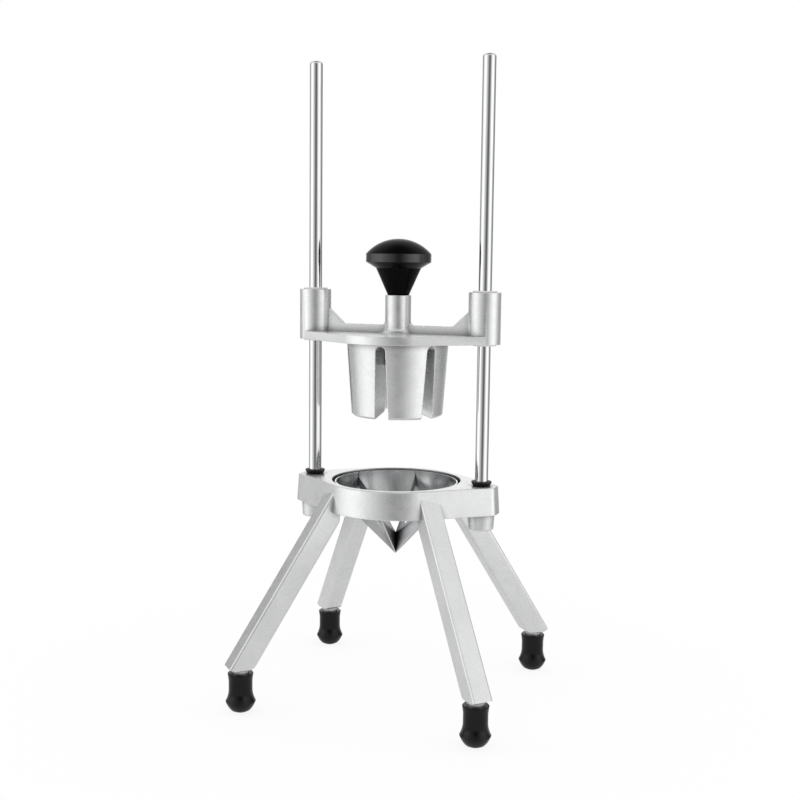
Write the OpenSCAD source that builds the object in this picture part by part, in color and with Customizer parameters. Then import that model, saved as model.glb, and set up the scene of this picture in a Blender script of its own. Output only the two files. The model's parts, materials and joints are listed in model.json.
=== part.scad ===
// Hand press that cuts a round fruit into six wedges.
// A cast base on four legs holds a ring of six sloping blades. A press head slides
// down two guide rods, and its six fingers push the fruit through between the blades.
// Z is up, the feet stand on z = 0, X runs along the line of the two guide rods and
// the front is at -Y. The press head is drawn part way up its rods.

/* [Guide rods] */
// Diameter of a guide rod
rod_d = 10; // [8:0.5:12]
// Height of the rods above the base
rod_rise = 319; // [280:1:380]
// Rounding of a rod's top edge
rod_tip_r = 2.2; // [0.5:0.1:3]

/* [Base] */
// Height of the base's flat top above the table
base_top = 168.5; // [160:0.5:200]
// Height of the base's skirt
skirt_h = 21; // [18:0.5:26]
// Wall between the opening and the skirt's top edge, at the front
skirt_wall = 5; // [4:0.5:10]
// Reach of the base's ends past the rod bosses
end_margin = 1.4; // [0.5:0.1:6]
// Half width of the base's narrow ends
end_half_w = 9; // [8:0.5:12]
// Corner radius of the ends
end_corner_r = 5.5; // [3:0.5:7]
// Outward draft of the skirt over its height
skirt_draft = 1.3; // [0.5:0.1:2]
// Rounding of the base's top edge
top_edge_r = 1.2; // [0.5:0.1:2]

/* [Rod bosses] */
// Wall of a boss round its rod, where it leaves the base
boss_wall = 5.6; // [4:0.1:8]
// Length of a boss below the skirt
boss_drop = 12.8; // [10:0.1:18]
// Radius lost by a boss over its length
boss_draft = 0.8; // [0.2:0.1:1.2]
// Rounding of a boss's lower edge
boss_round = 1.5; // [0.5:0.1:3]
// Gap between a boss and the ear of the blade ring beside it
boss_gap = 0.5; // [0.3:0.1:12]
// Depth of the recess for a rod screw's head
screw_recess = 5.5; // [5:0.5:6.5]
// Thickness of the web between that recess and the rod
boss_web = 4; // [3:0.5:6]

/* [Legs] */
// Distance of a foot's centre from the middle, along X
foot_x = 91.4; // [80:0.1:100]
// Distance of a foot's centre from the middle, along Y
foot_y = 86.2; // [75:0.1:95]
// How far inside the skirt's round a leg's axis meets the skirt's lower edge
leg_inset = 0.65; // [0:0.05:3]
// How far outside its stub a leg's axis ends
leg_shift = 1.5; // [0:0.05:3]
// Width of a leg's outer face
leg_w = 16.1; // [14:0.1:18]
// Width of a leg's inner face
leg_inner_w = 14; // [12:0.1:14]
// Thickness of a leg, square to its outer face
leg_t = 17.4; // [14:0.1:20]
// Rounding of a leg's long edges
leg_edge_r = 1.8; // [0.8:0.1:2.5]
// Rise of the sloping cuts at both sides of a leg's end
leg_end_h = 2; // [1:0.1:4]
// Level width of the cut at the outer side
leg_toe_w = 4.5; // [2:0.1:6]
// Level width of the cut at the inner side
leg_heel_w = 3; // [1:0.1:5]
// Radius of the stub under a leg, inside the boot
stub_r = 6.6; // [5:0.1:6.8]
// Spread of the stub where it joins the leg, and its height
stub_flare = 0.4; // [0.2:0.1:0.4]
stub_flare_h = 1.6; // [0.5:0.1:2.5]
// Height of the stub's lower end above the table
stub_z = 11; // [9:0.5:14]

/* [Feet] */
// Height of a rubber boot
boot_h = 30; // [26:0.5:36]
// Length of stub that shows between a boot and its leg
stub_show = 2.9; // [2:0.1:8]
// Wall of a boot at its waist
boot_wall = 2.3; // [1.5:0.1:4]
// Spread of a boot's rim past its waist
rim_flare = 0.7; // [0.3:0.05:1.5]
// Height over which the rim spreads
rim_flare_h = 6; // [3:0.5:8]
// Chamfer of a boot's rim
rim_chamfer = 0.7; // [0.3:0.1:1.2]
// Spread of a boot's tread past its waist
tread_flare = 2.4; // [1:0.05:4]
// Height over which the tread draws in to the waist
tread_flare_h = 9; // [5:0.5:10]
// Height of the tread's widest place
tread_z = 8; // [6:0.5:10]
// Roundness of the tread below that, from 0, a cone, to 1, a quarter round
tread_round = 0.6; // [0:0.05:1]
// Radius of the flat spot under a boot
flat_r = 4.5; // [3:0.5:6]

/* [Rod bumpers] */
// Height of a rubber stop ring
bumper_h = 3.3; // [2:0.1:6]
// Width of a stop ring at its upper edge
bumper_w = 2.7; // [2:0.1:5]
// Width of a stop ring where it rests on the base
bumper_foot_w = 1.4; // [1:0.1:4]
// Height of a stop ring's upright upper edge
bumper_lip = 0.9; // [0.3:0.1:2]

/* [Blade ring and blades] */
// Inner radius of the blade ring
ring_r = 46.6; // [38:0.1:56]
// Wall of the ring above its locating band
ring_wall = 1.1; // [0.8:0.1:1.5]
// Gap between the ring's rim and the opening in the base
rim_gap = 2.3; // [1:0.1:4]
// Drop of the ring's rim below the base's top
rim_drop = 1.4; // [0:0.1:3]
// Height of the ring's locating band
band_h = 6; // [4:0.5:9]
// Thickness of the fixing ears under the base
ear_t = 2.5; // [2:0.5:4]
// Width of an ear
ear_w = 12; // [10:0.5:14]
// Rounding of an ear's corners
ear_corner_r = 4; // [1:0.5:5]
// Distance of an ear's screw from the edge of the opening
ear_screw_margin = 3.8; // [3.6:0.1:5]
// Reach of an ear past its screw
ear_reach = 3.6; // [3:0.1:3.8]
// Thickness of a blade
blade_t = 1.2; // [0.8:0.1:1.6]
// Thickness left at a blade's cutting edge
blade_edge_t = 0.2; // [0.1:0.05:0.4]
// Width of the ground faces along the cutting edge
blade_grind = 3; // [1.5:0.5:5]
// Depth of a slot in the ring below its blade's end
slot_drop = 2; // [1:0.5:4]
// Depth of the blades' point below the base's top
point_drop = 58.9; // [50:0.1:62]
// Height of a blade at the axis
blade_h_in = 17; // [12:0.5:20]
// Height of a blade at the ring
blade_h_out = 7; // [5:0.5:9]
// Depth of a blade's upper corner below the ring's rim
blade_sink = 2.9; // [2:0.1:6]

/* [Press head] */
// Height of the press head's underside above the base's top, as drawn
head_rise = 107.15; // [60:0.05:250]
// Thickness of the plate
plate_t = 6.35; // [5:0.05:9]
// Margin of the plate's round middle past the pusher block
plate_margin = 10.5; // [4:0.5:14]
// Wall of a rod housing round its bushings
housing_wall = 5.1; // [4:0.1:8]
// How far the plate's ends stay inside the housings' round
plate_inset = 0.3; // [0.2:0.05:1]
// Height of a rod housing
housing_h = 38.7; // [32:0.1:50]
// Radius of the knob's post
post_r = 9.9; // [8.5:0.1:12]
// Height of the post's top above the plate's underside
post_h = 35.25; // [28:0.05:45]
// Fillet between the post and the plate
post_fillet = 4.5; // [2:0.5:6]
// Width of the ribs between the post and the housings
rib_w = 5.5; // [4:0.5:8]
// Height of the ribs above the plate
rib_h = 6.2; // [4:0.1:10]
// Fillet between a rib's top and the post
rib_fillet = 3.5; // [1:0.5:6]
// Length of the gusset on a rib
gusset_l = 12; // [6:0.5:20]
// Height of the gusset on a housing
gusset_h = 11; // [6:0.5:18]

/* [Bushings] */
// Wall of a bushing
bushing_wall = 2; // [1.5:0.1:3]
// Length of a bushing inside its housing
bushing_l = 12; // [8:0.5:15]
// Thickness of a bushing's flange
flange_t = 1.1; // [0.8:0.1:2]
// Width of a bushing's flange on the housing
flange_w = 2.1; // [1.2:0.1:3]

/* [Pusher block] */
// Length of the fingers below the plate
finger_l = 56.6; // [48:0.1:60]
// Clearance between the blade ring and the fingers at the plate
finger_gap = 7.6; // [5:0.1:10]
// Radius lost by the fingers over their length
finger_draft = 4; // [2:0.1:6]
// Radius of the empty core between the fingers' ends
core_r = 14.5; // [12:0.1:17]
// Rise of the fingers' ends towards the core
finger_dish = 3.8; // [0:0.1:6]
// Width of the gap between fingers at its arch
gap_top = 7.7; // [6:0.1:9]
// Width of the gap between fingers at the bottom
gap_bottom = 10.8; // [9:0.1:13]
// Thickness of the block above the arches
web_t = 1.8; // [1.5:0.1:4]
// Height of the hub that joins the fingers
hub_h = 16; // [13:0.5:20]
// Reach of the hub into the fingers past the core
hub_margin = 1.5; // [1:0.1:3]
// Height of the lip round the hub's lower face
hub_lip = 1.2; // [0.5:0.1:2]
// Chamfer of the fingers' outer lower corners
finger_chamfer = 1.3; // [0.5:0.1:3]

/* [Knob] */
// Height of the knob
knob_h = 42.7; // [36:0.1:55]
// Radius of the knob's rim
knob_r = 24.9; // [20:0.1:32]
// Radius of the knob where it meets the post
knob_foot_r = 8.1; // [7:0.1:8.4]
// Radius at the top of the knob's cone
knob_neck_r = 17.2; // [14:0.1:19]
// Height of the knob's cone
knob_cone_h = 20.4; // [16:0.1:24]
// Height of the flare between cone and rim
knob_flare_h = 4.6; // [3:0.1:7]
// Height of the knob's rim band
knob_band_h = 6.2; // [4:0.1:9]

/* [Fasteners] */
// Diameter of the rod screws
rod_screw_d = 6; // [5:0.5:6]
// Diameter of the blade screws
blade_screw_d = 4; // [3:0.5:4]
// Diameter of the pusher screws
pusher_screw_d = 5; // [4:0.5:5]
// Distance of the pusher screws from the axis
pusher_screw_r = 7; // [6.5:0.1:7.3]
// Diameter of the knob's stud
stud_d = 8; // [6:0.5:10]
// Length of the stud in the post, and in the knob
stud_half = 15; // [10:0.5:18]
// Length of the rod screws' thread in a rod
rod_screw_grip = 11; // [8:0.5:20]
// Length of the blade screws' thread in the base
blade_screw_grip = 8; // [6:0.5:12]
// Length of the pusher screws' thread in the plate and post
pusher_screw_grip = 8; // [5:0.5:12]
// Depth of the recess for a pusher screw's head
pusher_recess = 6; // [4:0.5:8]

/* [Fits] */
// Running gap between a rod and its bushings, per side
running_gap = 0.05; // [0.02:0.01:0.1]
// Gap of a part seated in a hole, per side
seat_gap = 0.03; // [0.01:0.01:0.1]
// Gap of a screw in its clearance hole, per side
screw_gap = 0.25; // [0.1:0.05:0.4]
// Gap round a screw's head in its recess
head_gap = 0.6; // [0.2:0.1:1]
// Depth left free past a screw's or stud's end
end_gap = 1; // [0.5:0.5:3]

/* [Hidden] */
$fn = 64;

// Colours
CAST = [0.80, 0.81, 0.82];
STEEL = [0.70, 0.71, 0.73];
BLACK = [0.08, 0.08, 0.08];
NYLON = [0.93, 0.93, 0.91];

// Overshoot of a cut past the face that it opens
eps = 1;
// Overlap of shapes that are cast in one piece
overlap = 0.2;

// Wedges that the fruit is cut into: as many half blades, gaps and fingers
wedges = 6;
wedge_angle = 360 / wedges;
// Turn of the first blade from the X axis
first_blade = 30;
// Turns of the pusher screws
pusher_screw_turns = [0, 120, 240];

// Screw heads
rod_screw_head_r = rod_screw_d * 0.8;
blade_screw_head_r = blade_screw_d * 0.85;
blade_screw_head_h = blade_screw_d * 0.5;
pusher_screw_head_r = pusher_screw_d * 0.8;
pusher_screw_head_h = pusher_screw_d * 0.8;

// Base, from the blade ring outwards
opening_r = ring_r + ring_wall + rim_gap;
middle_r = opening_r + skirt_wall;
rod_r = rod_d / 2;
boss_r = rod_r + boss_wall;
ear_screw_x = opening_r + ear_screw_margin;
ear_x = ear_screw_x + ear_reach;
rod_x = ear_x + boss_gap + boss_r;
end_reach = boss_r + end_margin;
skirt_bottom = base_top - skirt_h;
boss_bottom = skirt_bottom - boss_drop;
rod_seat = boss_bottom + screw_recess + boss_web;
rod_top = base_top + rod_rise;

// Legs: each runs from its foot's centre line up and inwards to the skirt
foot_angle = atan2(foot_y, foot_x);
foot_r = norm([foot_x, foot_y]);
leg_end_z = boot_h + stub_show;
leg_end_r = foot_r + leg_shift;
leg_top_r = middle_r - leg_inset;
leg_slope = (leg_end_r - leg_top_r) / (skirt_bottom - leg_end_z);
leg_tilt = atan(leg_slope);
// Level thickness of a leg
leg_side = leg_t / cos(leg_tilt);
// Length of a leg's bar inside the skirt, which ends below the base's rounded edge
leg_over = (skirt_h - 2 * top_edge_r) / cos(leg_tilt) - leg_t / 2 * leg_slope;

// Boots
waist_r = stub_r + boot_wall;
rim_r = waist_r + rim_flare;
tread_r = waist_r + tread_flare;

// Blade ring and blades
ring_bottom = skirt_bottom;
ring_top = base_top - rim_drop;
band_r = opening_r - seat_gap;
blade_out_r = ring_r + ring_wall / 2;
point_z = base_top - point_drop;
blade_top_in = point_z + blade_h_in;
blade_top_out = ring_top - blade_sink;
blade_low_out = blade_top_out - blade_h_out;
blade_pitch = atan((blade_top_out - blade_top_in) / blade_out_r);

// Press head
head_z = base_top + head_rise;
bushing_hole_r = rod_r + running_gap + bushing_wall + seat_gap;
housing_r = bushing_hole_r + housing_wall;
housing_top = head_z + housing_h;
post_top = head_z + post_h;
rib_top = plate_t + rib_h;

// Pusher block
finger_r = ring_r - finger_gap;
finger_end_r = finger_r - finger_draft;
plate_r = finger_r + plate_margin;
hub_r = core_r + hub_margin;

// Points of an arc of radius r round c, from angle a to angle b in n steps
function arc(c, r, a, b, n) = [for (i = [0:n]) let (t = a + (b - a) * i / n)
    [c[0] + r * cos(t), c[1] + r * sin(t)]];

// The same points on the other side of the X axis, in reverse order
function mirrored(points) = [for (i = [len(points) - 1:-1:0]) [points[i][0], -points[i][1]]];

// ---- fasteners ----------------------------------------------------------------

// Screw with a round socket head, standing on its head's upper face at z = 0
module socket_screw(d, shank_l, head_r, head_h) {
    socket_r = d * 0.42;
    socket_depth = head_h * 0.6;
    cylinder(d = d, h = shank_l);
    difference() {
        translate([0, 0, -head_h]) cylinder(r = head_r, h = head_h);
        translate([0, 0, -head_h - eps]) cylinder(r = socket_r, h = socket_depth + eps, $fn = 6);
    }
}

// Tapped hole upwards from z = 0 for a screw or stud whose thread is l long
module tapped_hole(d, l) {
    translate([0, 0, -eps]) cylinder(d = d + 2 * seat_gap, h = l + end_gap + eps);
}

// Clearance hole for a screw through a wall that starts at z = 0
module clearance_hole(d, wall) {
    translate([0, 0, -eps]) cylinder(d = d + 2 * screw_gap, h = wall + 2 * eps);
}

// ---- base ---------------------------------------------------------------------

// One corner column of the skirt: drafted outwards below, rounded at its top edge
module skirt_column(r, sides) {
    rotate_extrude($fn = sides)
        polygon([
            [0, 0],
            [r + skirt_draft, 0],
            [r, skirt_h - top_edge_r],
            [r - top_edge_r * (1 - cos(45)), skirt_h - top_edge_r * (1 - sin(45))],
            [r - top_edge_r, skirt_h],
            [0, skirt_h]
        ]);
}

module skirt_body() {
    corner_x = rod_x + end_reach - end_corner_r;
    corner_y = end_half_w - end_corner_r;
    translate([0, 0, skirt_bottom]) hull() {
        skirt_column(middle_r, 96);
        for (x = [-1, 1], y = [-1, 1])
            translate([x * corner_x, y * corner_y]) skirt_column(end_corner_r, 32);
    }
}

// Boss that holds a rod's lower end, with a rounded lower edge
module rod_boss() {
    low_r = boss_r - boss_draft;
    translate([0, 0, boss_bottom]) rotate_extrude() {
        translate([low_r - boss_round, boss_round]) circle(r = boss_round);
        polygon([
            [0, 0],
            [low_r - boss_round, 0],
            [low_r, boss_round],
            [boss_r, boss_drop + eps],
            [0, boss_drop + eps]
        ]);
    }
}

// Cross-section of a leg: its outer face, at +X, is wider than its inner face
module leg_section() {
    steps = 5;
    draft = atan((leg_w - leg_inner_w) / 2 / leg_t);
    x = leg_t / 2 - leg_edge_r;
    outer_y = leg_w / 2 - leg_edge_r * (1 + sin(draft)) / cos(draft);
    inner_y = leg_inner_w / 2 - leg_edge_r * (1 - sin(draft)) / cos(draft);
    half = concat(
        arc([x, outer_y], leg_edge_r, 0, 90 + draft, steps),
        arc([-x, inner_y], leg_edge_r, 90 + draft, 180, steps));
    polygon(concat(half, mirrored(half)));
}

// Side view of what is cut off under a leg: level in the middle, sloping at both sides
module leg_end_cut() {
    past = 3;
    toe_run = leg_toe_w * past;
    heel_run = (leg_heel_w + leg_end_h * leg_slope) * past;
    toe_x = leg_side / 2 - leg_end_h * leg_slope - leg_toe_w;
    heel_x = leg_heel_w - leg_side / 2;
    polygon([
        [heel_x, 0],
        [toe_x, 0],
        [toe_x + toe_run, leg_end_h * past],
        [toe_x + toe_run, -leg_t],
        [heel_x - heel_run, -leg_t],
        [heel_x - heel_run, leg_end_h * past]
    ]);
}

// One leg, pointing outwards along +X: a sloping bar and the stub for its boot
module leg() {
    below = leg_t / 2;
    bar_l = (skirt_bottom - leg_end_z) / cos(leg_tilt) + leg_over;
    difference() {
        translate([leg_end_r, 0, leg_end_z]) rotate([0, -leg_tilt, 0])
            translate([0, 0, -below]) linear_extrude(below + bar_l) leg_section();
        translate([leg_end_r, leg_w, leg_end_z]) rotate([90, 0, 0])
            linear_extrude(2 * leg_w) leg_end_cut();
    }
    translate([foot_r, 0, 0]) rotate_extrude() polygon([
        [0, stub_z],
        [stub_r, stub_z],
        [stub_r, leg_end_z - stub_flare_h],
        [stub_r + stub_flare, leg_end_z],
        [stub_r + stub_flare, leg_end_z + leg_end_h],
        [0, leg_end_z + leg_end_h]
    ]);
}

// Shape of the cast base before its opening and holes are cut
module base_solid() {
    skirt_body();
    for (x = [-1, 1]) translate([x * rod_x, 0, 0]) rod_boss();
    for (x = [0, 1], y = [0, 1]) mirror([x, 0, 0]) mirror([0, y, 0])
        rotate([0, 0, foot_angle]) leg();
}

module base_frame() {
    color(CAST) difference() {
        base_solid();
        // opening for the blade ring, which also trims the legs' inner sides
        translate([0, 0, skirt_bottom - leg_side])
            cylinder(r = opening_r, h = skirt_h + leg_side + eps, $fn = 128);
        for (x = [-1, 1]) {
            // rod socket, the screw hole through its web and the recess for the head
            translate([x * rod_x, 0, rod_seat])
                cylinder(r = rod_r + seat_gap, h = base_top - rod_seat + eps);
            translate([x * rod_x, 0, boss_bottom]) {
                clearance_hole(rod_screw_d, screw_recess + boss_web);
                translate([0, 0, -eps])
                    cylinder(r = rod_screw_head_r + head_gap, h = screw_recess + eps);
            }
            translate([x * ear_screw_x, 0, skirt_bottom])
                tapped_hole(blade_screw_d, blade_screw_grip);
        }
    }
}

// ---- feet, rods and bumpers ---------------------------------------------------

// Rubber boot round a leg's stub: rounded tread, hollow flare, waist and rim
module boot() {
    steps = 6;
    function tread(t) = [flat_r + (tread_r - flat_r)
        * (tread_round * sqrt(1 - pow(1 - t, 2)) + (1 - tread_round) * t), tread_z * t];
    function flare(t) = [waist_r + tread_flare * pow(1 - t, 2), tread_z + tread_flare_h * t];
    rotate_extrude() difference() {
        polygon(concat(
            [[0, 0]],
            [for (i = [0:steps]) tread(i / steps)],
            [for (i = [1:steps]) flare(i / steps)],
            [
                [waist_r, boot_h - rim_flare_h],
                [rim_r, boot_h - rim_chamfer],
                [rim_r - rim_chamfer, boot_h],
                [0, boot_h]
            ]));
        translate([-eps, stub_z - seat_gap])
            square([stub_r + seat_gap + eps, boot_h]);
    }
}

module foot(sx, sy) {
    color(BLACK) translate([sx * foot_x, sy * foot_y, 0]) boot();
}

// Rod with a rounded top edge and a tapped hole in its lower end
module guide_rod(sx) {
    rod_l = rod_top - rod_seat;
    color(STEEL) translate([sx * rod_x, 0, rod_seat]) difference() {
        rotate_extrude() {
            square([rod_r - rod_tip_r, rod_l]);
            square([rod_r, rod_l - rod_tip_r]);
            intersection() {
                translate([rod_r - rod_tip_r, rod_l - rod_tip_r]) circle(r = rod_tip_r);
                square([rod_r, rod_l]);
            }
        }
        tapped_hole(rod_screw_d, rod_screw_grip);
    }
}

// Rubber stop ring, which widens to its upright upper edge
module rod_bumper(sx) {
    bore_r = rod_r + seat_gap;
    color(BLACK) translate([sx * rod_x, 0, base_top]) rotate_extrude()
        polygon([
            [bore_r, 0],
            [rod_r + bumper_foot_w, 0],
            [rod_r + bumper_w, bumper_h - bumper_lip],
            [rod_r + bumper_w, bumper_h],
            [bore_r, bumper_h]
        ]);
}

// Screws that pull the rods into their bosses from below
module rod_screws() {
    color(STEEL) for (x = [-1, 1]) translate([x * rod_x, 0, boss_bottom + screw_recess])
        socket_screw(rod_screw_d, boss_web + rod_screw_grip, rod_screw_head_r,
            screw_recess - end_gap);
}

// ---- blades -------------------------------------------------------------------

// Ear with a rounded end, along +X from inside the ring
module ear_outline() {
    inner_x = ring_r / 2;
    flat_w = ear_w - 2 * ear_corner_r;
    translate([inner_x, -ear_w / 2]) square([ear_x - ear_corner_r - inner_x, ear_w]);
    translate([inner_x, -flat_w / 2]) square([ear_x - inner_x, flat_w]);
    for (y = [-1, 1]) translate([ear_x - ear_corner_r, y * flat_w / 2])
        circle(r = ear_corner_r);
}

// Steel ring: locating band below, thin rim above and two ears for the screws
module blade_ring() {
    slot_bottom = blade_low_out - slot_drop;
    color(STEEL) translate([0, 0, ring_bottom]) difference() {
        union() {
            cylinder(r = band_r, h = band_h, $fn = 128);
            cylinder(r = ring_r + ring_wall, h = ring_top - ring_bottom, $fn = 128);
            for (s = [0, 1]) mirror([s, 0, 0]) translate([0, 0, -ear_t])
                linear_extrude(ear_t) ear_outline();
        }
        translate([0, 0, -ear_t - eps])
            cylinder(r = ring_r, h = ring_top - ring_bottom + ear_t + 2 * eps, $fn = 128);
        // slots that the blades' outer ends seat in
        for (i = [0:wedges - 1]) rotate([0, 0, first_blade + i * wedge_angle])
            translate([ring_r - eps, -blade_t / 2 - seat_gap, slot_bottom - ring_bottom])
                cube([ring_wall / 2 + eps + seat_gap, blade_t + 2 * seat_gap,
                    ring_top - slot_bottom + eps]);
        for (x = [-1, 1]) translate([x * ear_screw_x, 0, -ear_t])
            clearance_hole(blade_screw_d, ear_t);
    }
}

// Side view of a half blade, from its wedge at the axis to its end in the ring
module blade_outline() {
    polygon([
        [0, point_z],
        [blade_out_r, blade_low_out],
        [blade_out_r, blade_top_out],
        [0, blade_top_in]
    ]);
}

// What is ground off one side along the cutting edge, which runs along z = 0
module grind_outline() {
    depth_per_width = 2 * blade_grind / (blade_t - blade_edge_t);
    polygon([
        [blade_edge_t / 2, 0],
        [blade_edge_t / 2, eps],
        [blade_t, eps],
        [blade_t, -depth_per_width * (blade_t - blade_edge_t / 2)]
    ]);
}

// One half blade along +X. Its inner end is a wedge, so that all the half blades
// meet face to face at the axis. Its upper edge is ground thin on both sides.
module blade(i) {
    color(STEEL) rotate([0, 0, first_blade + i * wedge_angle]) difference() {
        translate([0, blade_t / 2, 0]) rotate([90, 0, 0]) linear_extrude(blade_t)
            blade_outline();
        // two faces of the inner wedge
        for (s = [0, 1]) mirror([0, s, 0]) rotate([0, 0, wedge_angle / 2])
            translate([-2 * blade_t, 0, point_z - eps])
                cube([4 * blade_t, 2 * blade_t, point_drop]);
        // ground faces of the cutting edge
        for (s = [0, 1]) mirror([0, s, 0]) translate([0, 0, blade_top_in])
            rotate([0, -blade_pitch, 0]) translate([-blade_out_r, 0, 0]) rotate([90, 0, 90])
                linear_extrude(3 * blade_out_r) grind_outline();
    }
}

// Screws that hold the ring's ears against the base's underside
module blade_screws() {
    color(STEEL) for (x = [-1, 1]) translate([x * ear_screw_x, 0, ring_bottom - ear_t])
        socket_screw(blade_screw_d, ear_t + blade_screw_grip, blade_screw_head_r,
            blade_screw_head_h);
}

// ---- press head ---------------------------------------------------------------

// Lens-shaped plate: a round middle whose straight sides run to the rod housings
module plate_outline() {
    hull() {
        circle(r = plate_r, $fn = 120);
        for (x = [-1, 1]) translate([x * rod_x, 0])
            circle(r = housing_r - plate_inset, $fn = 48);
    }
}

// Side view of the rib between the post and one housing, with its fillet and gusset
module rib_outline() {
    root_x = sqrt(pow(post_r, 2) - pow(rib_w / 2, 2)) - overlap;
    housing_x = rod_x - housing_r;
    end_x = housing_x + housing_wall / 2;
    gusset_top = rib_top + gusset_h / gusset_l * (end_x - housing_x + gusset_l);
    polygon(concat(
        [
            [0, plate_t - overlap],
            [end_x, plate_t - overlap],
            [end_x, gusset_top],
            [housing_x - gusset_l, rib_top]
        ],
        arc([root_x + rib_fillet, rib_top + rib_fillet], rib_fillet, 270, 180, 6),
        [[0, rib_top + rib_fillet]]));
}

// Knob post with a hollow fillet at its foot
module post() {
    rotate_extrude() polygon(concat(
        [[0, plate_t / 2], [post_r + post_fillet, plate_t / 2]],
        arc([post_r + post_fillet, plate_t + post_fillet], post_fillet, 270, 180, 8),
        [[post_r, post_h], [0, post_h]]));
}

module press_head() {
    color(CAST) translate([0, 0, head_z]) difference() {
        union() {
            linear_extrude(plate_t) plate_outline();
            for (x = [-1, 1]) translate([x * rod_x, 0, 0])
                cylinder(r = housing_r, h = housing_h);
            for (s = [0, 1]) mirror([s, 0, 0]) translate([0, rib_w / 2, 0])
                rotate([90, 0, 0]) linear_extrude(rib_w) rib_outline();
            post();
        }
        for (x = [-1, 1]) translate([x * rod_x, 0, -eps])
            cylinder(r = bushing_hole_r, h = housing_h + 2 * eps);
        translate([0, 0, post_h]) mirror([0, 0, 1]) tapped_hole(stud_d, stud_half);
        for (a = pusher_screw_turns) rotate([0, 0, a]) translate([pusher_screw_r, 0, 0])
            tapped_hole(pusher_screw_d, pusher_screw_grip);
    }
}

// Flanged bushing upwards from a housing's lower face
module bushing() {
    bore_r = rod_r + running_gap;
    rotate_extrude() {
        translate([bore_r, 0]) square([bushing_wall, bushing_l]);
        translate([bore_r, -flange_t]) square([bushing_hole_r + flange_w - bore_r, flange_t]);
    }
}

module bushing_lower(sx) {
    color(NYLON) translate([sx * rod_x, 0, head_z]) bushing();
}

module bushing_upper(sx) {
    color(NYLON) translate([sx * rod_x, 0, housing_top]) mirror([0, 0, 1]) bushing();
}

// ---- pusher block -------------------------------------------------------------

// Side view of the gap between two fingers: arched top, widening downwards
module gap_outline() {
    polygon(concat(
        arc([0, -web_t - gap_top / 2], gap_top / 2, 0, 180, 12),
        [[-gap_bottom / 2, -finger_l - eps], [gap_bottom / 2, -finger_l - eps]]));
}

// Tapered cup whose wall is cut into the fingers
module pusher_cup() {
    chamfer_top_r = finger_end_r + finger_draft * finger_chamfer / finger_l;
    rotate_extrude($fn = 128) polygon([
        [0, 0],
        [finger_r, 0],
        [chamfer_top_r, -finger_l + finger_chamfer],
        [finger_end_r - finger_chamfer, -finger_l],
        [core_r, -finger_l + finger_dish],
        [core_r, -hub_h],
        [0, -hub_h]
    ]);
}

module pusher_block() {
    color(CAST) translate([0, 0, head_z]) difference() {
        pusher_cup();
        for (i = [0:wedges / 2 - 1]) rotate([0, 0, first_blade + i * wedge_angle])
            difference() {
                translate([-finger_r - eps, 0, 0]) rotate([90, 0, 90])
                    linear_extrude(2 * (finger_r + eps)) gap_outline();
                translate([0, 0, -hub_h - hub_lip])
                    cylinder(r = hub_r, h = hub_h + hub_lip + eps);
            }
        for (a = pusher_screw_turns) rotate([0, 0, a])
            translate([pusher_screw_r, 0, -hub_h]) {
                clearance_hole(pusher_screw_d, hub_h);
                translate([0, 0, -eps])
                    cylinder(r = pusher_screw_head_r + head_gap, h = pusher_recess + eps);
            }
    }
}

// Screws that hold the pusher block under the plate
module pusher_screws() {
    color(STEEL) for (a = pusher_screw_turns) rotate([0, 0, a])
        translate([pusher_screw_r, 0, head_z - hub_h + pusher_recess])
            socket_screw(pusher_screw_d, hub_h - pusher_recess + pusher_screw_grip,
                pusher_screw_head_r, pusher_screw_head_h);
}

// ---- knob ---------------------------------------------------------------------

// Mushroom knob: cone, flare, upright rim band and dome
module knob() {
    flare_z = knob_cone_h;
    band_z = flare_z + knob_flare_h;
    dome_z = band_z + knob_band_h;
    dome_h = knob_h - dome_z;
    dome_r = (knob_r * knob_r + dome_h * dome_h) / (2 * dome_h);
    dome_half = asin(knob_r / dome_r);
    steps = 10;
    function dome(t) = let (a = dome_half * (1 - t))
        [dome_r * sin(a), knob_h - dome_r * (1 - cos(a))];
    color(BLACK) translate([0, 0, post_top]) difference() {
        rotate_extrude($fn = 96) polygon(concat(
            [
                [0, 0],
                [knob_foot_r, 0],
                [knob_neck_r, flare_z],
                [knob_r, band_z],
                [knob_r, dome_z]
            ],
            [for (i = [1:steps]) dome(i / steps)]));
        tapped_hole(stud_d, stud_half);
    }
}

// Threaded stud, half in the post and half in the knob
module knob_stud() {
    color(STEEL) translate([0, 0, post_top - stud_half]) cylinder(d = stud_d, h = 2 * stud_half);
}

// ---- assembly -----------------------------------------------------------------

base_frame();
foot(-1, -1);  // foot_front_left
foot(1, -1);  // foot_front_right
foot(-1, 1);  // foot_rear_left
foot(1, 1);  // foot_rear_right
guide_rod(-1);  // guide_rod_left
guide_rod(1);  // guide_rod_right
rod_bumper(-1);  // rod_bumper_left
rod_bumper(1);  // rod_bumper_right
rod_screws();
blade_ring();
blade(0);  // blade_1
blade(1);  // blade_2
blade(2);  // blade_3
blade(3);  // blade_4
blade(4);  // blade_5
blade(5);  // blade_6
blade_screws();
press_head();
bushing_upper(-1);  // bushing_upper_left
bushing_upper(1);  // bushing_upper_right
bushing_lower(-1);  // bushing_lower_left
bushing_lower(1);  // bushing_lower_right
pusher_block();
pusher_screws();
knob();
knob_stud();
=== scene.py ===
"""Looks of the hand press for fruit wedges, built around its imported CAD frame."""

import json
import math

import bpy
from mathutils import Matrix, Vector

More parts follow.
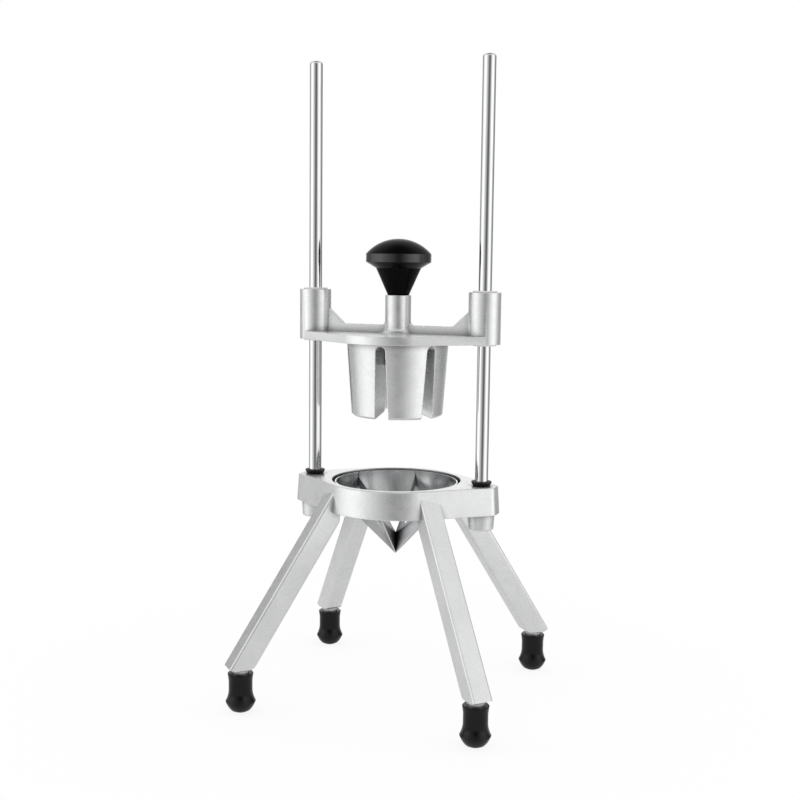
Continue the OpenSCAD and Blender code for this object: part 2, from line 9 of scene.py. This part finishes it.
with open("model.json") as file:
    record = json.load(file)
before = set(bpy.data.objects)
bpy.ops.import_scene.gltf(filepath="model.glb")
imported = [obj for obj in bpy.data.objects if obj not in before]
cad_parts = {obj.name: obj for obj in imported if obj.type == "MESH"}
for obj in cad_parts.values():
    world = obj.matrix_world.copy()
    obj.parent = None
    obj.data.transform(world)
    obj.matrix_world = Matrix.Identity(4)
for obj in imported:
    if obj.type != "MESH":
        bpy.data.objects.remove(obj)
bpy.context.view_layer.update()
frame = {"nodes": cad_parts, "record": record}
MM = 0.001


# ---- camera -------------------------------------------------------------------

# Where the photograph was taken from: degrees, and metres in the CAD frame
CAMERA_AZIMUTH = 19.40
CAMERA_ELEVATION = 6.78
CAMERA_ROLL = 0.65
CAMERA_DISTANCE = 0.9312
CAMERA_TARGET_Z = 0.2303
CAMERA_SIDE_STEP = 0.0022
SENSOR_MM = 36.0
LENS_MM = 54.36


def make_camera():
    """A camera at the photograph's place, aimed just beside the middle of the object."""
    az = math.radians(CAMERA_AZIMUTH)
    el = math.radians(CAMERA_ELEVATION)
    back = Vector((math.sin(az) * math.cos(el), -math.cos(az) * math.cos(el), math.sin(el)))
    right = Vector((math.cos(az), math.sin(az), 0.0))
    up = back.cross(right)
    place = Vector((0, 0, CAMERA_TARGET_Z)) + right * CAMERA_SIDE_STEP + back * CAMERA_DISTANCE
    turn = Matrix((right, up, back)).transposed()
    roll = Matrix.Rotation(math.radians(CAMERA_ROLL), 3, "Z")
    data = bpy.data.cameras.new("camera")
    data.sensor_width = SENSOR_MM
    data.lens = LENS_MM
    camera = bpy.data.objects.new("camera", data)
    camera.matrix_world = Matrix.Translation(place) @ (turn @ roll).to_4x4()
    bpy.context.collection.objects.link(camera)
    bpy.context.scene.camera = camera


# ---- node helpers ---------------------------------------------------------------

def as_rgba(colour):
    """A grey (one number) or a colour (three numbers) as four numbers."""
    if not isinstance(colour, tuple):
        colour = (colour, colour, colour)
    return (*colour, 1.0)


class Nodes:
    """A short way to write the node tree of a material or of the world."""

    def __init__(self, owner, output_kind="ShaderNodeOutputMaterial"):
        owner.use_nodes = True
        self.owner = owner
        self.tree = owner.node_tree
        self.tree.nodes.clear()
        self.output = self.add(output_kind)

    def add(self, kind, **settings):
        node = self.tree.nodes.new(kind)
        for name, value in settings.items():
            setattr(node, name, value)
        return node

    def link(self, source, target):
        self.tree.links.new(source, target)

    def feed(self, socket, value):
        """Links an output to the socket, or sets a plain number or colour on it."""
        if isinstance(value, bpy.types.NodeSocket):
            self.link(value, socket)
        else:
            socket.default_value = value

    def shader(self, **values):
        """A principled shader with these plain values."""
        shader = self.add("ShaderNodeBsdfPrincipled")
        for name, value in values.items():
            shader.inputs[name.replace("_", " ")].default_value = value
        return shader

    def surface(self, colour, rough, normal, **values):
        """The material's own shader: three inputs linked, the rest plain values."""
        shader = self.shader(**values)
        self.link(colour, shader.inputs["Base Color"])
        self.link(rough, shader.inputs["Roughness"])
        self.link(normal, shader.inputs["Normal"])
        self.link(shader.outputs[0], self.output.inputs["Surface"])
        return shader

    def place(self, scale=(1.0, 1.0, 1.0)):
        """The point on the object, in metres, scaled along each axis."""
        coordinates = self.add("ShaderNodeTexCoord")
        mapping = self.add("ShaderNodeMapping")
        mapping.inputs["Scale"].default_value = scale
        self.link(coordinates.outputs["Object"], mapping.inputs["Vector"])
        return mapping.outputs["Vector"]

    def noise(self, vector, scale, detail=3.0, roughness=0.55):
        """Noise round 0.5, with about scale lumps to the metre."""
        noise = self.add("ShaderNodeTexNoise")
        noise.inputs["Scale"].default_value = scale
        noise.inputs["Detail"].default_value = detail
        noise.inputs["Roughness"].default_value = roughness
        self.link(vector, noise.inputs["Vector"])
        return noise.outputs["Fac"]

    def ramp(self, value, stops):
        """A colour by value; stops are (value, grey or colour) pairs."""
        ramp = self.add("ShaderNodeValToRGB")
        while len(ramp.color_ramp.elements) < len(stops):
            ramp.color_ramp.elements.new(1.0)
        for element, (position, colour) in zip(ramp.color_ramp.elements, stops):
            element.position = position
            element.color = as_rgba(colour)
        self.link(value, ramp.inputs["Fac"])
        return ramp.outputs["Color"]

    def math(self, operation, *values):
        node = self.add("ShaderNodeMath", operation=operation)
        for socket, value in zip(node.inputs, values):
            self.feed(socket, value)
        return node.outputs[0]

    def vector_math(self, operation, *vectors):
        """A number worked out from one or two vectors."""
        node = self.add("ShaderNodeVectorMath", operation=operation)
        for socket, vector in zip(node.inputs, vectors):
            self.link(vector, socket)
        return node.outputs["Value"]

    def height_of(self, vector):
        """The vector's Z."""
        split = self.add("ShaderNodeSeparateXYZ")
        self.link(vector, split.inputs[0])
        return split.outputs["Z"]

    def share(self, value, low, high, to_low=0.0, to_high=1.0):
        """Where value lies between low and high, clamped, from to_low to to_high."""
        node = self.add("ShaderNodeMapRange")
        for name, number in zip(("From Min", "From Max", "To Min", "To Max"),
                                (low, high, to_low, to_high)):
            node.inputs[name].default_value = number
        self.link(value, node.inputs["Value"])
        return node.outputs["Result"]

    def openness(self, distance, samples):
        """1 where nothing stands within distance of the surface, less in corners."""
        hollow = self.add("ShaderNodeAmbientOcclusion", samples=samples)
        hollow.inputs["Distance"].default_value = distance
        return hollow.outputs["AO"]

    def bump(self, height, strength, distance, normal=None):
        bump = self.add("ShaderNodeBump")
        bump.inputs["Strength"].default_value = strength
        bump.inputs["Distance"].default_value = distance
        self.link(height, bump.inputs["Height"])
        if normal is not None:
            self.link(normal, bump.inputs["Normal"])
        return bump.outputs["Normal"]

    def blend(self, factor, first, second):
        """Mix of two colours, each an output, a grey or a colour."""
        node = self.add("ShaderNodeMix", data_type="RGBA")
        self.feed(node.inputs["Factor"], factor)
        for name, colour in (("A", first), ("B", second)):
            if not isinstance(colour, bpy.types.NodeSocket):
                colour = as_rgba(colour)
            self.feed(node.inputs[name], colour)
        return node.outputs["Result"]

    def mix(self, factor, first, second):
        """Mix of two shaders."""
        node = self.add("ShaderNodeMixShader")
        self.link(factor, node.inputs["Fac"])
        self.link(first, node.inputs[1])
        self.link(second, node.inputs[2])
        return node.outputs[0]


# ---- materials ------------------------------------------------------------------

# How far the light rolls over the casting's edges, in metres, and how many samples it takes
CAST_EDGE = 0.9 * MM
CAST_EDGE_SAMPLES = 6
# What counts as an edge: the dot product of the rolled and the true normal, from not
# at all to fully, and how open the place is
EDGE_TURN = (0.97, 0.80)
EDGE_OPENNESS = (0.85, 0.97)
# Painted highlight on the edges: a lighter grey, with the lower roughness of metal rubbed in the
# tumbler
EDGE_HIGHLIGHT_GREY = 0.95
RUBBED_ROUGHNESS = 0.18
# Painted shade darkens the corners: how far from the corner, in metres, and how open the
# place is where the painted shade is darkest and where it ends
CORNER_SHADE = 7.0 * MM
CORNER_SAMPLES = 16
CORNER_OPENNESS = (0.42, 0.94)
CORNER_SHADE_GREY = 0.28
# The layers of the casting's surface, in lumps to the metre
CLOUDS, SKIN, PITS, GRAIN = 42.0, 170.0, 620.0, 1900.0
# How much of the metal's tone comes from the first and from the third of them
CLOUD_TONE, PIT_TONE = 0.6, 0.4


def cast_aluminium():
    """Tumbled casting: satin, with a fine grain, shallow pits, faint cloudy patches, a painted
    highlight on its edges and painted shade in its corners.
    """
    n = Nodes(bpy.data.materials.new("cast_aluminium"))
    where = n.place()
    cloud = n.noise(where, CLOUDS, 4.0)
    skin = n.noise(where, SKIN)
    pits = n.noise(where, PITS, 4.0, 0.65)
    grain = n.noise(where, GRAIN, 2.0, 0.6)

    rolled = n.add("ShaderNodeBevel", samples=CAST_EDGE_SAMPLES)
    rolled.inputs["Radius"].default_value = CAST_EDGE
    true_normal = n.add("ShaderNodeNewGeometry").outputs["Normal"]
    facing = n.vector_math("DOT_PRODUCT", rolled.outputs["Normal"], true_normal)
    openness = n.openness(CORNER_SHADE, CORNER_SAMPLES)
    rubbed_and_highlit = n.math("MULTIPLY", n.share(facing, *EDGE_TURN), n.share(openness, *EDGE_OPENNESS))

    tone = n.math("ADD", n.math("MULTIPLY", cloud, CLOUD_TONE), n.math("MULTIPLY", pits, PIT_TONE))
    metal = n.ramp(tone, [(0.32, (0.73, 0.735, 0.74)), (0.68, (0.82, 0.823, 0.825))])
    # painted shade: the metal turns a darker grey in corners and hollows
    metal = n.blend(n.share(openness, *CORNER_OPENNESS), CORNER_SHADE_GREY, metal)
    rough = n.ramp(skin, [(0.3, 0.25), (0.7, 0.34)])

    # strength and depth in millimetres of each layer's relief, finest first
    normal = rolled.outputs["Normal"]
    for layer, strength, depth in ((grain, 0.14, 0.06), (pits, 0.15, 0.12),
                                   (skin, 0.10, 0.4), (cloud, 0.06, 1.0)):
        normal = n.bump(layer, strength, depth * MM, normal)
    # painted highlight: lighter grey along the open edges, which are also rubbed to a lower
    # roughness
    n.surface(n.blend(rubbed_and_highlit, metal, EDGE_HIGHLIGHT_GREY), n.blend(rubbed_and_highlit, rough, RUBBED_ROUGHNESS),
              normal, Metallic=0.80)
    return n.owner


def rod_steel():
    """Polished bar with hair-fine marks and faint smears along its length."""
    n = Nodes(bpy.data.materials.new("rod_steel"))
    lines = n.noise(n.place((1.0, 1.0, 0.01)), 2600.0, 3.0, 0.6)
    smears = n.noise(n.place((1.0, 1.0, 0.2)), 90.0)
    n.surface(n.ramp(smears, [(0.3, (0.74, 0.745, 0.75)), (0.7, (0.80, 0.803, 0.806))]),
              n.ramp(lines, [(0.3, 0.07), (0.75, 0.14)]),
              n.bump(lines, 0.06, 0.03 * MM), Metallic=1.0)
    return n.owner


# Painted shade darkens the funnel of blades inside: how far its sides reach across, in
# metres, and how open the place is where it is darkest and where the painted shade ends
FUNNEL_SHADE = 40 * MM
FUNNEL_SAMPLES = 8
FUNNEL_OPENNESS = (0.30, 0.74)
FUNNEL_SHADE_COLOUR = (0.06, 0.06, 0.065)


def blade_steel():
    """Ground sheet steel, with painted shade inside the funnel."""
    n = Nodes(bpy.data.materials.new("blade_steel"))
    lines = n.noise(n.place((1.0, 1.0, 0.06)), 1800.0, 3.0, 0.6)
    cloud = n.noise(n.place(), 60.0)
    sheet = n.ramp(cloud, [(0.3, (0.67, 0.675, 0.68)), (0.7, (0.75, 0.755, 0.76))])
    unshaded = n.share(n.openness(FUNNEL_SHADE, FUNNEL_SAMPLES), *FUNNEL_OPENNESS)
    # painted shade: the sheet turns near black where the funnel's sides stand close round it
    n.surface(n.blend(unshaded, FUNNEL_SHADE_COLOUR, sheet),
              n.ramp(lines, [(0.25, 0.16), (0.8, 0.30)]),
              n.bump(lines, 0.12, 0.05 * MM), Metallic=1.0)
    return n.owner


def screw_steel():
    """Plain zinc-plated fasteners."""
    n = Nodes(bpy.data.materials.new("screw_steel"))
    patches = n.noise(n.place(), 300.0)
    n.surface(n.ramp(patches, [(0.3, 0.50), (0.7, 0.62)]),
              n.ramp(patches, [(0.3, 0.24), (0.7, 0.38)]),
              n.bump(n.noise(n.place(), 1400.0), 0.1, 0.05 * MM), Metallic=1.0)
    return n.owner


# Where the knob's rim ends, as the height of its normal without sign, and the knob's
# specular level on the rim and off it
RIM_TURN = (0.25, 0.38)
RIM_GLOSS = (0.85, 0.05)


def black_plastic():
    """Moulded knob: near black and dull, polished round its rim, where the hand holds it."""
    n = Nodes(bpy.data.materials.new("knob_plastic"))
    peel = n.noise(n.place(), 260.0, 2.0)
    dust = n.noise(n.place(), 55.0, 5.0, 0.65)
    shader = n.surface(n.ramp(dust, [(0.35, 0.0015), (0.75, 0.003)]),
                       n.ramp(dust, [(0.3, 0.16), (0.75, 0.24)]),
                       n.bump(peel, 0.08, 0.1 * MM))
    normal = n.add("ShaderNodeNewGeometry").outputs["Normal"]
    slope = n.math("ABSOLUTE", n.height_of(normal))
    n.link(n.share(slope, *RIM_TURN, *RIM_GLOSS), shader.inputs["Specular IOR Level"])
    return n.owner


# What dust does to the rubber: it multiplies the colour and moves the roughness
DUSTY_COLOUR = 1.8
CLEAN_ROUGHNESS, DUSTY_ROUGHNESS = -0.06, 0.08


def black_rubber(name, base, rough, specular):
    """Moulded rubber, faintly dusty."""
    n = Nodes(bpy.data.materials.new(name))
    fine = n.noise(n.place(), 1100.0, 3.0, 0.6)
    dust = n.noise(n.place(), 90.0, 5.0, 0.65)
    n.surface(n.ramp(dust, [(0.35, base), (0.75, base * DUSTY_COLOUR)]),
              n.ramp(dust, [(0.3, rough + CLEAN_ROUGHNESS), (0.75, rough + DUSTY_ROUGHNESS)]),
              n.bump(fine, 0.14, 0.08 * MM), Specular_IOR_Level=specular)
    return n.owner


def white_nylon():
    """Turned nylon, with faint rings round the bore."""
    n = Nodes(bpy.data.materials.new("nylon"))
    cloud = n.noise(n.place(), 160.0)
    rings = n.noise(n.place((1.0, 1.0, 30.0)), 120.0)
    n.surface(n.ramp(cloud, [(0.3, (0.74, 0.74, 0.72)), (0.7, (0.82, 0.82, 0.80))]),
              n.ramp(cloud, [(0.3, 0.32), (0.7, 0.44)]), n.bump(rings, 0.05, 0.05 * MM))
    return n.owner


# ---- CAD nodes ------------------------------------------------------------------

# Each material slot's material, and the width of its parts' broken edges, in metres
FINISHES = {
    "cast_aluminium": (cast_aluminium(), 0.6 * MM),
    "rod_steel": (rod_steel(), 0.2 * MM),
    "blade_steel": (blade_steel(), 0.08 * MM),
    "screw_steel": (screw_steel(), 0.25 * MM),
    "knob_plastic": (black_plastic(), 0.5 * MM),
    "foot_rubber": (black_rubber("foot_rubber", 0.0010, 0.19, 0.28), 0.4 * MM),
    "bumper_rubber": (black_rubber("bumper_rubber", 0.003, 0.50, 0.3), 0.3 * MM),
    "nylon": (white_nylon(), 0.2 * MM),
}
# Mesh points closer than this are one, in metres
WELD_DISTANCE = 0.002 * MM
# Edges that turn by more than this are broken, and in so many steps
BEVEL_DEGREES = 30
BEVEL_SEGMENTS = 4
# Edges that still turn by more than this are shaded sharp
SHARP_DEGREES = 25


def smooth_by_angle(limit):
    """Node group that shades a mesh smooth and keeps the edges over limit degrees sharp."""
    group = bpy.data.node_groups.new("smooth_by_angle", "GeometryNodeTree")
    group.interface.new_socket("Mesh", in_out="INPUT", socket_type="NodeSocketGeometry")
    group.interface.new_socket("Mesh", in_out="OUTPUT", socket_type="NodeSocketGeometry")
    add, link = group.nodes.new, group.links.new
    plain = add("GeometryNodeRemoveAttribute")
    plain.inputs["Name"].default_value = "custom_normal"
    link(add("NodeGroupInput").outputs[0], plain.inputs["Geometry"])
    faces = add("GeometryNodeSetShadeSmooth")
    link(plain.outputs[0], faces.inputs["Geometry"])
    faces.inputs["Shade Smooth"].default_value = True
    angle = add("GeometryNodeInputMeshEdgeAngle")
    steep = add("FunctionNodeCompare")
    steep.operation = "GREATER_THAN"
    link(angle.outputs["Unsigned Angle"], steep.inputs["A"])
    steep.inputs["B"].default_value = math.radians(limit)
    edges = add("GeometryNodeSetShadeSmooth")
    edges.domain = "EDGE"
    link(faces.outputs[0], edges.inputs["Geometry"])
    link(steep.outputs[0], edges.inputs["Selection"])
    edges.inputs["Shade Smooth"].default_value = False
    link(edges.outputs[0], add("NodeGroupOutput").inputs[0])
    return group


def dress_nodes():
    """Gives each CAD node its slot's material, broken edges and smooth shading."""
    slot_of = {part["node"]: part["material_slot"] for part in frame["record"]["subparts"]}
    smoothing = smooth_by_angle(SHARP_DEGREES)
    for name, node in frame["nodes"].items():
        material, edge_width = FINISHES[slot_of[name]]
        node.data.materials.clear()
        node.data.materials.append(material)
        weld = node.modifiers.new("weld", "WELD")
        weld.merge_threshold = WELD_DISTANCE
        bevel = node.modifiers.new("bevel", "BEVEL")
        bevel.width = edge_width
        bevel.segments = BEVEL_SEGMENTS
        bevel.limit_method = "ANGLE"
        bevel.angle_limit = math.radians(BEVEL_DEGREES)
        bevel.use_clamp_overlap = True
        smooth = node.modifiers.new("smooth", "NODES")
        smooth.node_group = smoothing
        flatten = node.modifiers.new("flatten", "WEIGHTED_NORMAL")
        flatten.keep_sharp = True


# ---- stage and light ------------------------------------------------------------

FLOOR_RADIUS = 0.5
FLOOR_SIDES = 128
# Where the floor starts to fade into the white behind it, in metres from the middle
FLOOR_FADE = 0.25
# How far the floor's white is its own light, so that its shadow stays faint
FLOOR_GLOW = 0.88
FLOOR_GREY = 0.98
# What metal sees of the floor, which lies in the press's own shade
FLOOR_IN_METAL = 0.66

# What metal sees round the object: brightness by angle, in degrees to the right of
# the camera's direction. Soft panels stand left and right, with gaps between them.
ROOM = [
    (-180, 1.25), (-165, 0.70), (-148, 0.34), (-132, 0.30), (-118, 0.50), (-104, 0.95),
    (-88, 1.25), (-66, 1.45), (-50, 1.00), (-35, 0.68), (-20, 0.44), (-9, 0.20), (0, 0.12),
    (9, 0.14), (20, 0.42), (34, 0.85), (50, 1.30), (66, 1.45), (80, 1.20), (93, 0.66),
    (106, 0.36), (130, 0.22), (148, 0.38), (162, 0.70), (180, 1.25)]
# Between these heights, in degrees above or below eye level, the panels give way to
# plain bounced light, and between the ceiling's that gives way to the dark ceiling
BOUNCE = 0.84
BOUNCE_HEIGHTS = (10, 42)
CEILING = 0.15
CEILING_HEIGHTS = (57, 74)
# Even light from all sides on what isn't shiny
SOFT_LIGHT = 0.92

# Soft boxes beside the object: degrees to the right of the camera's direction, width
# and height in metres, and watts
LAMPS = {"key": (-90, (0.8, 1.2), 2.4), "fill": (80, (0.6, 1.2), 2.8)}
LAMP_DISTANCE = 1.3
LAMP_Z = 0.55
LAMP_AIM_Z = 0.25


def make_stage():
    """A round white floor that fades into the background and keeps the shadow."""
    bpy.ops.mesh.primitive_circle_add(vertices=FLOOR_SIDES, radius=FLOOR_RADIUS,
                                      fill_type="NGON")
    floor = bpy.context.object
    floor.name = "floor"
    n = Nodes(bpy.data.materials.new("floor"))
    floor.data.materials.append(n.owner)
    matt = n.shader(Roughness=0.9, Base_Color=as_rgba(FLOOR_GREY))
    glow = n.add("ShaderNodeEmission")
    path = n.add("ShaderNodeLightPath")
    n.link(n.share(path.outputs["Is Glossy Ray"], 0.0, 1.0, 1.0, FLOOR_IN_METAL),
           glow.inputs["Strength"])
    distance = n.vector_math("LENGTH", n.place())
    fade = n.share(distance, FLOOR_FADE, FLOOR_RADIUS, FLOOR_GLOW, 1.0)
    seen = n.math("MAXIMUM", path.outputs["Is Camera Ray"], path.outputs["Is Glossy Ray"])
    n.link(n.mix(n.math("MULTIPLY", seen, fade), matt.outputs[0], glow.outputs[0]),
           n.output.inputs["Surface"])


def room_colour(n):
    """What metal sees of the room in each direction, in the world's nodes."""
    where = n.add("ShaderNodeTexCoord")
    split = n.add("ShaderNodeSeparateXYZ")
    n.link(where.outputs["Generated"], split.inputs[0])
    # angle round the object in turns: the fraction is one half in the camera's direction,
    # and the whole turn on top of that keeps it positive
    angle = n.math("ARCTAN2", split.outputs["X"], n.math("MULTIPLY", split.outputs["Y"], -1.0))
    turns = n.math("ADD", n.math("DIVIDE", angle, 2 * math.pi), 1.5 - CAMERA_AZIMUTH / 360)
    walls = n.ramp(n.math("FRACT", turns), [((a + 180) / 360, grey) for a, grey in ROOM])

    def give_way(colour, grey, height, heights):
        """The colour below the first of the heights, the grey above the second."""
        low, high = (math.sin(math.radians(degrees)) for degrees in heights)
        return n.blend(n.share(height, low, high), colour, grey)

    up = split.outputs["Z"]
    room = give_way(walls, BOUNCE, n.math("ABSOLUTE", up), BOUNCE_HEIGHTS)
    return give_way(room, CEILING, up, CEILING_HEIGHTS)


def make_world():
    """White behind the object, the room in its metal, and even light on the rest."""
    world = bpy.data.worlds.new("studio")
    bpy.context.scene.world = world
    n = Nodes(world, "ShaderNodeOutputWorld")
    path = n.add("ShaderNodeLightPath")

    def background(colour, strength=1.0):
        node = n.add("ShaderNodeBackground")
        n.feed(node.inputs["Color"], colour)
        node.inputs["Strength"].default_value = strength
        return node.outputs[0]

    white = as_rgba(1.0)
    lit = n.mix(path.outputs["Is Glossy Ray"], background(white, SOFT_LIGHT),
                background(room_colour(n)))
    clear = n.math("MAXIMUM", path.outputs["Is Camera Ray"], path.outputs["Is Transmission Ray"])
    n.link(n.mix(clear, lit, background(white)), n.output.inputs["Surface"])


def make_lamps():
    """Soft boxes that light what isn't shiny; metal sees the room instead."""
    for name, (degrees, size, power) in LAMPS.items():
        turn = math.radians(CAMERA_AZIMUTH + degrees)
        data = bpy.data.lights.new(name, "AREA")
        data.shape = "RECTANGLE"
        data.size, data.size_y = size
        data.energy = power
        lamp = bpy.data.objects.new(name, data)
        lamp.location = (LAMP_DISTANCE * math.sin(turn), -LAMP_DISTANCE * math.cos(turn), LAMP_Z)
        aim = Vector((0, 0, LAMP_AIM_Z)) - lamp.location
        lamp.rotation_euler = aim.to_track_quat("-Z", "Y").to_euler()
        lamp.visible_glossy = False
        bpy.context.collection.objects.link(lamp)


make_camera()
dress_nodes()
make_stage()
make_world()
make_lamps()
bpy.context.scene.view_settings.view_transform = "Standard"
